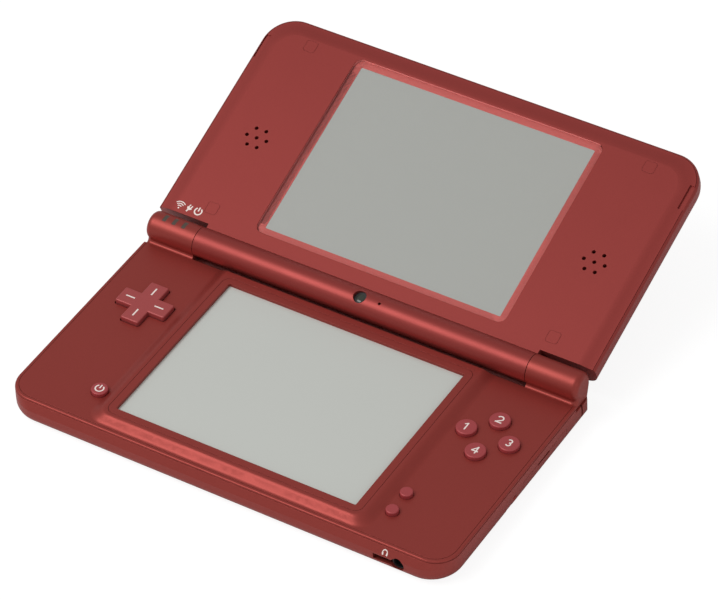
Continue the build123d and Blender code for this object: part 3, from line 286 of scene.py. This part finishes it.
def sign(name, bands, at, across, along, node, material, body, ink):
    """A printed sign: each band is a strip of quads laid on the surface that carries it.

    The strip's plane points go to at + x*across + y*along, run down onto the surface, and make
    a thin closed slab that reaches the ink's thickness into the surface and as far above it.
    Each band stands a fifth of the ink higher than the one before it, so that no tops coincide."""
    down = -np.cross(across, along)
    points, faces = [], []
    for order, (left, right) in enumerate(bands):
        flat = np.concatenate([left, right])
        rows = len(left)
        start = at + flat[:, :1] * across + flat[:, 1:] * along - down * RUN_DOWN
        met = struck(start, down, node)
        base = sum(len(block) for block in points)
        thick = ink * (1 + order / 5)
        points += [met - down * thick, met + down * thick]
        i = np.arange(rows - 1)
        top = np.stack([i, i + 1, rows + i + 1, rows + i], 1)
        under = top[:, ::-1] + 2 * rows
        rim = np.concatenate([np.arange(rows), rows + np.arange(rows)[::-1]])
        after = np.roll(rim, -1)
        wall = np.stack([after, rim, rim + 2 * rows, after + 2 * rows], 1)
        faces += [top + base, under + base, wall + base]
    piece = new_piece(name, np.concatenate(points), np.concatenate(faces).tolist(),
                      material, body)
    face_outwards(piece)


def face_outwards(piece):
    """Turns each closed part of a mesh so that its faces point out of it."""
    mesh = bmesh.new()
    mesh.from_mesh(piece.data)
    bmesh.ops.recalc_face_normals(mesh, faces=mesh.faces)
    mesh.to_mesh(piece.data)
    mesh.free()


# ------------------------------------------------------------------ shared shader effects
def effect(name, inputs, outputs):
    """An empty node group with named number inputs and outputs."""
    group = bpy.data.node_groups.new(name, "ShaderNodeTree")
    for label, default in inputs:
        socket = group.interface.new_socket(label, in_out="INPUT", socket_type="NodeSocketFloat")
        socket.default_value = default
    for label, kind in outputs:
        group.interface.new_socket(label, in_out="OUTPUT", socket_type=kind)
    return group, group.nodes.new("NodeGroupInput"), group.nodes.new("NodeGroupOutput")


def math(tree, operation, first, second):
    """A maths node whose inputs are sockets or numbers."""
    node = tree.nodes.new("ShaderNodeMath")
    node.operation = operation
    for socket, value in zip(node.inputs, (first, second)):
        if isinstance(value, bpy.types.NodeSocket):
            tree.links.new(value, socket)
        else:
            socket.default_value = value
    return node.outputs[0]


def noise(tree, vector, scale, detail, roughness=0.5):
    """Fractal noise on the piece's own coordinates, from about 0 to 1."""
    node = tree.nodes.new("ShaderNodeTexNoise")
    node.inputs["Detail"].default_value = detail
    node.inputs["Roughness"].default_value = roughness
    tree.links.new(vector, node.inputs["Vector"])
    if isinstance(scale, bpy.types.NodeSocket):
        tree.links.new(scale, node.inputs["Scale"])
    else:
        node.inputs["Scale"].default_value = scale
    return node.outputs["Fac"]


def satin_grain():
    """Fine grain of moulded or painted plastic: a height, a flake mask and a roughness change.

    Size is the grain's width. Height joins fine noise with a slower wave three times as wide;
    flake picks out the small cells of a Voronoi pattern that catch the light; roughness drifts
    slowly over some millimetres, as handled plastic does."""
    group, source, result = effect(
        "Satin grain", [("Size", 0.0001), ("Drift", 0.05)],
        [("Height", "NodeSocketFloat"), ("Flake", "NodeSocketFloat"), ("Roughness", "NodeSocketFloat")])
    place = group.nodes.new("ShaderNodeTexCoord").outputs["Object"]
    per_metre = math(group, "DIVIDE", 1.0, source.outputs["Size"])
    fine = noise(group, place, per_metre, 3.0)
    wide = noise(group, place, math(group, "DIVIDE", per_metre, 3.0), 1.0)
    height = math(group, "ADD", fine, math(group, "MULTIPLY", wide, 0.6))
    cells = group.nodes.new("ShaderNodeTexVoronoi")
    group.links.new(place, cells.inputs["Vector"])
    group.links.new(math(group, "MULTIPLY", per_metre, 1.4), cells.inputs["Scale"])
    grey = group.nodes.new("ShaderNodeSeparateColor")
    group.links.new(cells.outputs["Color"], grey.inputs[0])
    drift = noise(group, place, 90.0, 2.0, 0.6)
    drift = math(group, "MULTIPLY", math(group, "SUBTRACT", drift, 0.5), source.outputs["Drift"])
    group.links.new(height, result.inputs["Height"])
    group.links.new(grey.outputs[0], result.inputs["Flake"])
    group.links.new(drift, result.inputs["Roughness"])
    return group


def soft_cloud():
    """Slow light and dark change of a surface, about 1 in the middle: one plus noise times depth."""
    group, source, result = effect(
        "Soft cloud", [("Scale", 40.0), ("Depth", 0.04)], [("Value", "NodeSocketFloat")])
    place = group.nodes.new("ShaderNodeTexCoord").outputs["Object"]
    wave = math(group, "SUBTRACT", noise(group, place, source.outputs["Scale"], 2.0), 0.5)
    value = math(group, "ADD", 1.0, math(group, "MULTIPLY", wave, source.outputs["Depth"]))
    group.links.new(value, result.inputs["Value"])
    return group


def placed(tree, group, **values):
    """A node group placed in a material with its own input values."""
    node = tree.nodes.new("ShaderNodeGroup")
    node.node_tree = group
    for label, value in values.items():
        node.inputs[label].default_value = value
    return node


# ------------------------------------------------------------------ materials
def blank_material(name):
    """A material with only a Principled shader and its output."""
    material = bpy.data.materials.new(name)
    material.use_nodes = True
    return material, material.node_tree, material.node_tree.nodes["Principled BSDF"]


def coloured(tree, shader, colour, factor):
    """Base colour times a factor that changes over the surface."""
    mix = tree.nodes.new("ShaderNodeMix")
    mix.data_type = "RGBA"
    mix.blend_type = "MULTIPLY"
    mix.inputs["Factor"].default_value = 1.0
    mix.inputs["A"].default_value = (*colour, 1.0)
    grey = tree.nodes.new("ShaderNodeCombineColor")
    for socket in grey.inputs[:3]:
        tree.links.new(factor, socket)
    tree.links.new(grey.outputs[0], mix.inputs["B"])
    tree.links.new(mix.outputs["Result"], shader.inputs["Base Color"])


def relief(tree, shader, height, depth, edge=0.0):
    """Bump from a height, over normals that round the edges by a small radius."""
    bump = tree.nodes.new("ShaderNodeBump")
    bump.inputs["Strength"].default_value = 1.0
    bump.inputs["Distance"].default_value = depth
    tree.links.new(height, bump.inputs["Height"])
    if edge:
        bevel = tree.nodes.new("ShaderNodeBevel")
        bevel.samples = 6
        bevel.inputs["Radius"].default_value = edge
        tree.links.new(bevel.outputs["Normal"], bump.inputs["Normal"])
    tree.links.new(bump.outputs["Normal"], shader.inputs["Normal"])


def flecked(tree, texture, depth):
    """Factor about 1 that lightens or darkens single flakes by up to half the depth."""
    return math(tree, "ADD", math(tree, "MULTIPLY", texture.outputs["Flake"], depth), 1 - depth / 2)


def pearl_plastic(name, colour, look, pearl=None, rough=None):
    """Satin plastic with metal flake in it: a metal-like share takes the paint's colour."""
    material, tree, shader = blank_material(name)
    texture = placed(tree, shared("Satin grain", satin_grain), Size=look.grain, Drift=0.07)
    shade = placed(tree, shared("Soft cloud", soft_cloud), Scale=34.0, Depth=0.05)
    flecks = flecked(tree, texture, 0.16)
    coloured(tree, shader, colour, math(tree, "MULTIPLY", flecks, shade.outputs["Value"]))
    shader.inputs["Metallic"].default_value = look.pearl if pearl is None else pearl
    rough = look.gloss if rough is None else rough
    tree.links.new(math(tree, "ADD", texture.outputs["Roughness"], rough), shader.inputs["Roughness"])
    shader.inputs["IOR"].default_value = PLASTIC_IOR
    relief(tree, shader, texture.outputs["Height"], 0.0000022, look.edge)
    return material


def plain_plastic(name, colour, rough, depth=0.000002, metallic=0.0):
    """Solid plastic, rubber, lacquer or metal with a fine grain of the given depth."""
    material, tree, shader = blank_material(name)
    texture = placed(tree, shared("Satin grain", satin_grain), Size=0.00012, Drift=0.08)
    coloured(tree, shader, colour, flecked(tree, texture, 0.10))
    shader.inputs["Metallic"].default_value = metallic
    tree.links.new(math(tree, "ADD", texture.outputs["Roughness"], rough), shader.inputs["Roughness"])
    relief(tree, shader, texture.outputs["Height"], depth)
    return material


def screen_material(name, colour, rough, coat):
    """A switched-off display: even grey under a film or a clear coat."""
    material, tree, shader = blank_material(name)
    shade = placed(tree, shared("Soft cloud", soft_cloud), Scale=12.0, Depth=0.03)
    coloured(tree, shader, colour, shade.outputs["Value"])
    shader.inputs["Roughness"].default_value = rough
    shader.inputs["Coat Weight"].default_value = coat
    shader.inputs["Coat Roughness"].default_value = 0.12
    return material


def clear_window():
    """Thin clear window: see-through, with a polished face that mirrors more at a low angle."""
    material, tree, shader = blank_material("clear_window")
    tree.nodes.remove(shader)
    through = tree.nodes.new("ShaderNodeBsdfTransparent")
    path = tree.nodes.new("ShaderNodeLightPath")
    rim = tree.nodes.new("ShaderNodeFresnel")
    rim.inputs["IOR"].default_value = 1.4
    seen = math(tree, "MULTIPLY", path.outputs["Is Camera Ray"], rim.outputs[0])
    mix = tree.nodes.new("ShaderNodeMixShader")
    tree.links.new(seen, mix.inputs[0])
    tree.links.new(through.outputs[0], mix.inputs[1])
    gloss = tree.nodes.new("ShaderNodeBsdfGlossy")
    gloss.inputs["Roughness"].default_value = 0.12
    tree.links.new(gloss.outputs[0], mix.inputs[2])
    tree.links.new(mix.outputs[0], tree.nodes["Material Output"].inputs["Surface"])
    return material


def paint(material, *nodes):
    """Gives pieces of the frame a material."""
    for node in nodes:
        frame["nodes"][node].data.materials[0] = material


def shared(name, maker):
    """A node group that is made once."""
    return bpy.data.node_groups.get(name) or maker()


# ------------------------------------------------------------------ operators
class CONSOLE_OT_plastics(bpy.types.Operator):
    """Finish the casings, the lid, the keys and the plain plastic, rubber and metal pieces"""
    bl_idname = "console.plastics"
    bl_label = "Finish plastics"

    def execute(self, context):
        look = context.scene.console_plastics
        paint(pearl_plastic("deck_paint", look.deck_colour, look), *PAINTED)
        paint(pearl_plastic("lid_paint", look.lid_colour, look), *LID_PAINTED)
        paint(pearl_plastic("key_plastic", look.key_colour, look, KEY_PEARL, KEY_ROUGHNESS),
              "start_button", "select_button", "power_button", *NUMBERED_KEYS)
        paint(pearl_plastic("cross_plastic", look.cross_colour, look, KEY_PEARL, KEY_ROUGHNESS), "d_pad")
        for name, (finish, nodes) in PLAIN_FINISHES.items():
            paint(plain_plastic(name, **finish), *nodes)
        return {"FINISHED"}


class CONSOLE_OT_screens(bpy.types.Operator):
    """Finish both screens, the clear window and its printed border"""
    bl_idname = "console.screens"
    bl_label = "Finish screens"

    def execute(self, context):
        look = context.scene.console_screens
        plastics = context.scene.console_plastics
        paint(screen_material("upper_screen", look.upper_colour, SCREEN_ROUGHNESS, 0.0), "upper_display")
        paint(screen_material("touch_film", look.lower_colour, look.film_roughness, FILM_COAT),
              "touch_panel")
        paint(clear_window(), "upper_window")
        paint(pearl_plastic("border_print", plastics.border_colour, plastics, BORDER_PEARL),
              "window_border")
        return {"FINISHED"}


def print_material():
    """Matt ink of the signs."""
    return bpy.data.materials.get("sign_ink") or plain_plastic(
        "sign_ink", bpy.context.scene.console_signs.print_colour, INK_ROUGHNESS)


class CONSOLE_OT_lid_signs(bpy.types.Operator):
    """Print the wireless, charging and power signs beside the hinge"""
    bl_idname = "console.lid_signs"
    bl_label = "Lid signs"

    def execute(self, context):
        look = context.scene.console_signs
        size = look.sign_size
        signs = {"wireless_sign": (WIRELESS_X, wireless_bands(size)),
                 "charging_sign": (CHARGING_X, plug_bands(size * 1.1)),
                 "power_sign": (POWER_X, power_bands(size * 0.48, size * 0.18))}
        for name, (x, bands) in signs.items():
            sign(name, bands, on_lid(x, LID_SIGN_U) + LID_OUT * LID_OVER, RIGHT, LID_ALONG,
                 "lid_panel", print_material(), "lid", look.ink)
        return {"FINISHED"}


def wireless_bands(size):
    """Three arcs of a quarter turn over a dot, as shares of the sign's size."""
    foot, thick, dot = (0.0, -size * 0.46), size * 0.125, size * 0.11
    bands = [arc_band(foot, size * share, thick, 45, 135) for share in (0.36, 0.64, 0.92)]
    return bands + [disc(foot, dot)]


def plug_bands(size):
    """A plug seen from its side, turned a little: a round cup, a lead and two pins."""
    lean = -18
    cup_left = arc((0.0, size * 0.10), size * 0.33, 180, 270, 13)
    bands = [(cup_left, cup_left * (-1, 1)), bar((0, -size * 0.20), (0, -size * 0.52), size * 0.18)]
    for pin in (-size * 0.16, size * 0.16):
        bands.append(bar((pin, size * 0.06), (pin, size * 0.44), size * 0.14))
    return [turned(band, lean) for band in bands]


def turned(band, degrees):
    """A band turned about the sign's middle."""
    c, s = np.cos(np.radians(degrees)), np.sin(np.radians(degrees))
    turn = np.array([[c, s], [-s, c]])
    return band[0] @ turn, band[1] @ turn


def power_bands(radius, width):
    """An open ring with a bar in its gap."""
    return [arc_band((0, 0), radius, width, 125, 415, 40), bar((0, 0), (0, radius * 1.2), width)]


class CONSOLE_OT_deck_signs(bpy.types.Operator):
    """Print the dashes of the direction cross, the power sign and plain numbers on the keys"""
    bl_idname = "console.deck_signs"
    bl_label = "Deck signs"

    def execute(self, context):
        look = context.scene.console_signs
        ink, cross = print_material(), top_of("d_pad")
        near, far = CROSS_REACH - look.dash_length / 2, CROSS_REACH + look.dash_length / 2
        dashes = [bar((x * near, y * near), (x * far, y * far), DASH_WIDTH)
                  for x, y in ((1, 0), (0, 1), (-1, 0), (0, -1))]
        sign("cross_dashes", dashes, cross, RIGHT, BACK, "d_pad", ink, "dpad_cross", look.ink)
        sign("power_key_sign", power_bands(POWER_KEY_RADIUS, POWER_KEY_WIDTH), top_of("power_button"),
             RIGHT, BACK, "power_button", ink, "power_button_body", look.ink)
        for number, key in enumerate(NUMBERED_KEYS, 1):
            sign(f"key_number_{number}", number_bands(number, NUMBER_HEIGHT, NUMBER_WIDTH),
                 top_of(key), RIGHT, BACK, key, ink, f"{key}_body", look.ink)
        return {"FINISHED"}


def number_bands(number, height, width):
    """Plain figures 1 to 4 from straight and round bands, centred on their box."""
    h, w = height / 2, height * 0.30
    if number == 1:
        return [bar((0, -h), (0, h), width), bar((0, h - width / 2), (-w, h * 0.45), width * 0.9)]
    if number == 2:
        bowl = (0, h - w - width / 2)
        foot = -h + width / 2
        return [arc_band(bowl, w, width, 160, -35),
                bar((w * 0.80, bowl[1] - w * 0.58), (-w, foot), width),
                bar((-w - width / 2, foot), (w + width / 2, foot), width)]
    if number == 3:
        upper, lower = (0, h - w), (0, -h + w)
        return [arc_band(upper, w - width / 2, width, 150, -90),
                arc_band(lower, w - width / 2, width, 90, -150)]
    return [bar((w * 0.5, -h), (w * 0.5, h), width),
            bar((w * 0.5, h - width / 2), (-w, -h * 0.3), width * 0.9),
            bar((-w - width / 2, -h * 0.35), (w + width / 2, -h * 0.35), width)]


class CONSOLE_OT_front_sign(bpy.types.Operator):
    """Print the headphone sign over the headset slot"""
    bl_idname = "console.front_sign"
    bl_label = "Front sign"

    def execute(self, context):
        look = context.scene.console_signs
        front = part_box("lower_shell")[0][1]
        at = np.array([HEADPHONE_X, front - MM, HEADPHONE_Z])
        top, foot = HEADPHONE_CUP_Y
        bands = [arc_band((0, 0), HEADPHONE_RADIUS, HEADPHONE_BAND, -15, 195, 25)]
        for x in (-HEADPHONE_RADIUS, HEADPHONE_RADIUS):
            bands.append(bar((x, top), (x * 0.80, foot), HEADPHONE_CUP))
        sign("headphone_sign", bands, at, RIGHT, UP, "lower_shell", print_material(), "base",
             look.ink)
        return {"FINISHED"}


class CONSOLE_OT_stage(bpy.types.Operator):
    """Set the floor, the lights and the camera"""
    bl_idname = "console.stage"
    bl_label = "Stage"

    def execute(self, context):
        look = context.scene.console_stage
        scene = context.scene
        scene.view_settings.view_transform = "Standard"
        add_floor()
        add_world(look.sky)
        add_lamp("key_light", KEY_AT, KEY_SIZE, look.key_power)
        add_lamp("fill_light", FILL_AT, FILL_SIZE, look.fill_power)
        scene.camera = add_camera()
        return {"FINISHED"}


def seen_factor(tree, lamp_share, view_share):
    """Share of plain white in a backdrop: one value for light, another for what is seen."""
    path = tree.nodes.new("ShaderNodeLightPath")
    seen = math(tree, "MAXIMUM", path.outputs["Is Camera Ray"], path.outputs["Is Transmission Ray"])
    return math(tree, "ADD", math(tree, "MULTIPLY", seen, view_share - lamp_share), lamp_share)


def add_floor():
    """Round pale floor: quads between rings whose radii grow by squares, round a middle face."""
    turns = FLOOR_TURNS
    radii = FLOOR_RADIUS * np.linspace(0, 1, FLOOR_RINGS + 1)[1:] ** 2
    turn = np.linspace(0, 2 * np.pi, turns, endpoint=False)
    circle = np.stack([np.cos(turn), np.sin(turn), 0 * turn], 1)
    points = (radii[:, None, None] * circle).reshape(-1, 3)
    i, ring = np.meshgrid(np.arange(turns), np.arange(FLOOR_RINGS - 1))
    quads = np.stack([ring * turns + i, (ring + 1) * turns + i,
                      (ring + 1) * turns + (i + 1) % turns, ring * turns + (i + 1) % turns], -1)
    faces = quads.reshape(-1, 4).tolist() + [list(range(turns))]
    mesh = bpy.data.meshes.new("floor")
    mesh.from_pydata(points, [], faces)
    floor = bpy.data.objects.new("floor", mesh)
    bpy.context.scene.collection.objects.link(floor)
    material, tree, shader = blank_material("floor_paper")
    shader.inputs["Base Color"].default_value = FLOOR_PAPER
    shader.inputs["Roughness"].default_value = FLOOR_ROUGHNESS
    white = tree.nodes.new("ShaderNodeEmission")
    mix = tree.nodes.new("ShaderNodeMixShader")
    white.inputs["Strength"].default_value = FLOOR_WHITE
    tree.links.new(seen_factor(tree, 0.0, FLOOR_WHITE_SHARE), mix.inputs[0])
    tree.links.new(shader.outputs[0], mix.inputs[1])
    tree.links.new(white.outputs[0], mix.inputs[2])
    tree.links.new(mix.outputs[0], tree.nodes["Material Output"].inputs["Surface"])
    mesh.materials.append(material)


def add_world(sky):
    """Even room light that is seen as plain white."""
    world = bpy.data.worlds.new("room")
    bpy.context.scene.world = world
    world.use_nodes = True
    tree = world.node_tree
    tree.links.new(seen_factor(tree, sky, 1.0), tree.nodes["Background"].inputs["Strength"])
    tree.nodes["Background"].inputs["Color"].default_value = (1, 1, 1, 1)


def add_lamp(name, place, size, power):
    """Square soft light aimed at the console."""
    light = bpy.data.lights.new(name, "AREA")
    light.size = size
    light.energy = power
    lamp = bpy.data.objects.new(name, light)
    lamp.location = place
    lamp.rotation_euler = (Vector(LIT_POINT) - Vector(place)).to_track_quat("-Z", "Y").to_euler()
    bpy.context.scene.collection.objects.link(lamp)


def add_camera():
    """Camera at the photograph's place: its own right, up and back directions as columns."""
    right, up = Vector(CAMERA_RIGHT), Vector(CAMERA_UP)
    turn = Matrix((right, up, right.cross(up))).transposed().to_4x4()
    camera = bpy.data.objects.new("camera", bpy.data.cameras.new("camera"))
    camera.matrix_world = Matrix.Translation(Vector(CAMERA_AT)) @ turn
    camera.data.sensor_width = CAMERA_SENSOR
    camera.data.lens = CAMERA_LENS
    camera.data.shift_x, camera.data.shift_y = CAMERA_SHIFT
    camera.data.clip_start = CAMERA_NEAR
    bpy.context.scene.collection.objects.link(camera)
    return camera


class CONSOLE_PT_panel(bpy.types.Panel):
    """Sizes, colours and steps of the console"""
    bl_idname = "CONSOLE_PT_panel"
    bl_label = "Game console"
    bl_space_type = "VIEW_3D"
    bl_region_type = "UI"
    bl_category = "Console"

    def draw(self, context):
        for group in GROUPS:
            settings = getattr(context.scene, group)
            for prop in settings.bl_rna.properties:
                if prop.identifier not in {"name", "rna_type"}:
                    self.layout.prop(settings, prop.identifier)
        for step in STEPS:
            self.layout.operator(step.bl_idname)


GROUPS = {"console_plastics": ConsolePlastics, "console_screens": ConsoleScreens,
          "console_signs": ConsoleSigns, "console_stage": ConsoleStage}
STEPS = (CONSOLE_OT_plastics, CONSOLE_OT_screens, CONSOLE_OT_lid_signs, CONSOLE_OT_deck_signs,
         CONSOLE_OT_front_sign, CONSOLE_OT_stage)


def register():
    for item in (*GROUPS.values(), *STEPS, CONSOLE_PT_panel):
        bpy.utils.register_class(item)
    for name, group in GROUPS.items():
        setattr(bpy.types.Scene, name, bpy.props.PointerProperty(type=group))


def unregister():
    for name in GROUPS:
        delattr(bpy.types.Scene, name)
    for item in (CONSOLE_PT_panel, *reversed(STEPS), *GROUPS.values()):
        bpy.utils.unregister_class(item)


def main():
    register()
    bpy.ops.console.stage()
    bpy.ops.console.plastics()
    bpy.ops.console.screens()
    bpy.ops.console.lid_signs()
    bpy.ops.console.deck_signs()
    bpy.ops.console.front_sign()


if __name__ == "__main__":
    main()
